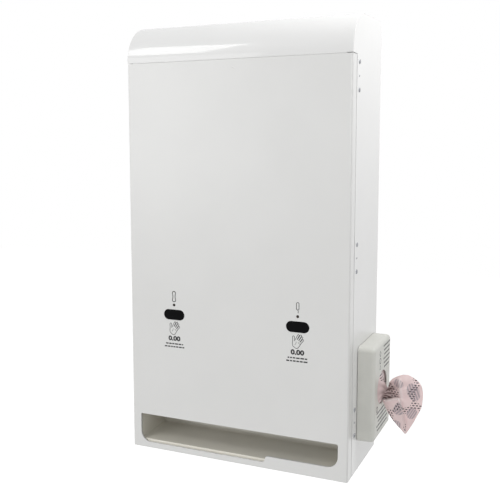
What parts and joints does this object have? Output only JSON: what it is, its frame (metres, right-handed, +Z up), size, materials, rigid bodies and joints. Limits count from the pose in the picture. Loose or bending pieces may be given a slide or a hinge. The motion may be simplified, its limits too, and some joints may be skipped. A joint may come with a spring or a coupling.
{
  "type": "tampon and pad dispenser",
  "caption": "Wall-hung steel cabinet with a hinged front, touch-free sensors, a wide vend slot, a hidden mechanism and a bag box on its side.",
  "frame": {"origin": "centre of the four wall holes, on the flat back face", "axes": "+Z up, +Y into the wall, so the front looks along -Y, and +X to the right of someone facing it"},
  "size_m": [0.4605, 0.1604, 0.691],
  "materials": {
    "door_paint": "gloss white powder coat",
    "cabinet_paint": "gloss white powder coat",
    "hood_paint": "gloss white powder coat",
    "tray_finish": "satin warm grey paint",
    "rivet_steel": "painted over white",
    "bracket_steel": "zinc plated",
    "arm_steel": "zinc plated",
    "pin_steel": "bright",
    "window_black": "high gloss",
    "lamp_smoke": "gloss",
    "sensor_case_black": "moulded satin",
    "board_green": "solder mask",
    "lock_chrome": "polished",
    "lock_zinc": "zinc plated",
    "magazine_plastic": "moulded satin",
    "mechanism_plastic": "moulded satin",
    "rotor_plastic": "moulded satin",
    "follower_steel": "painted grey",
    "motor_steel": "plated can",
    "battery_label": "printed sleeve",
    "bag_box_plastic": "moulded gloss",
    "bag_plate_steel": "painted white",
    "bag_film": "thin pink film"
  },
  "bodies": {
    "cabinet": {"back_panel": "cabinet_paint", "left_side_panel": "cabinet_paint", "right_side_panel": "cabinet_paint", "bottom_panel": "cabinet_paint", "top_hood": "hood_paint", "hinge_bracket_bottom": "bracket_steel", "hinge_bracket_middle": "bracket_steel", "hinge_bracket_top": "bracket_steel", "hinge_pin_bottom": "pin_steel", "hinge_pin_middle": "pin_steel", "hinge_pin_top": "pin_steel", "hinge_rivets": "rivet_steel", "lock_housing": "lock_chrome", "lock_nut": "lock_zinc", "dispensing_tray": "tray_finish", "pad_magazine": "magazine_plastic", "pad_motor": "motor_steel", "pad_motor_bracket": "bracket_steel", "tampon_magazine": "magazine_plastic", "rotor_housing": "mechanism_plastic", "tampon_motor": "motor_steel", "battery_box": "mechanism_plastic", "batteries": "battery_label", "battery_springs": "pin_steel", "control_board": "board_green", "board_standoffs": "mechanism_plastic", "bag_box_plate": "bag_plate_steel", "bag_box_screws": "pin_steel"},
    "door": {"door_panel": "door_paint", "door_stiffener": "bracket_steel", "door_catch": "bracket_steel", "sensor_window_left": "window_black", "sensor_window_right": "window_black", "lamp_lens_left": "lamp_smoke", "lamp_lens_right": "lamp_smoke", "sensor_case_left": "sensor_case_black", "sensor_case_right": "sensor_case_black", "sensor_board_left": "board_green", "sensor_board_right": "board_green", "hinge_screws": "arm_steel", "hinge_arm_bottom": "arm_steel", "hinge_arm_middle": "arm_steel", "hinge_arm_top": "arm_steel"},
    "lock": {"lock_plug": "lock_chrome", "lock_cam": "lock_zinc", "lock_bolt": "lock_zinc"},
    "ejector": {"pad_ejector": "mechanism_plastic"},
    "pinion": {"pad_pinion": "rotor_plastic"},
    "pad_weight": {"pad_follower": "follower_steel"},
    "rotor": {"tampon_rotor": "rotor_plastic"},
    "tampon_weight": {"tampon_follower": "follower_steel"},
    "bag_box": {"bag_box_back": "bag_box_plastic", "bag_box_shell": "bag_box_plastic", "bag_pack": "bag_film", "disposal_bag": "bag_film"}
  },
  "joints": [
    {"name": "door_hinge", "type": "hinge", "parent": "cabinet", "child": "door", "pos_m": [0.176, -0.13, 0], "axis": [0, 0, 1], "range_deg": [0, 100]},
    {"name": "lock_turn", "type": "hinge", "parent": "cabinet", "child": "lock", "pos_m": [-0.175, -0.116, 0.137], "axis": [-1, 0, 0], "range_deg": [0, 90]},
    {"name": "pad_ejector_slide", "type": "slide", "parent": "cabinet", "child": "ejector", "axis": [0, -1, 0], "range_m": [0, 0.045]},
    {"name": "pad_pinion_turn", "type": "hinge", "parent": "cabinet", "child": "pinion", "pos_m": [-0.112, -0.0545, -0.21693], "axis": [1, 0, 0], "range_deg": [0, 191]},
    {"name": "pad_weight_slide", "type": "slide", "parent": "cabinet", "child": "pad_weight", "axis": [0, 0, 1], "range_m": [0, 0.38]},
    {"name": "tampon_rotor_turn", "type": "hinge", "parent": "cabinet", "child": "rotor", "pos_m": [0.09, -0.104, -0.196], "axis": [1, 0, 0], "continuous": true},
    {"name": "tampon_weight_slide", "type": "slide", "parent": "cabinet", "child": "tampon_weight", "axis": [0, 0, 1], "range_m": [0, 0.37]},
    {"name": "bag_box_lift", "type": "slide", "parent": "cabinet", "child": "bag_box", "axis": [0, 0, 1], "range_m": [0, 0.007]}
  ],
  "couplings": [
    {"joint": "pad_pinion_turn", "follows": "pad_ejector_slide", "rad_per_m": 74.074}
  ]
}
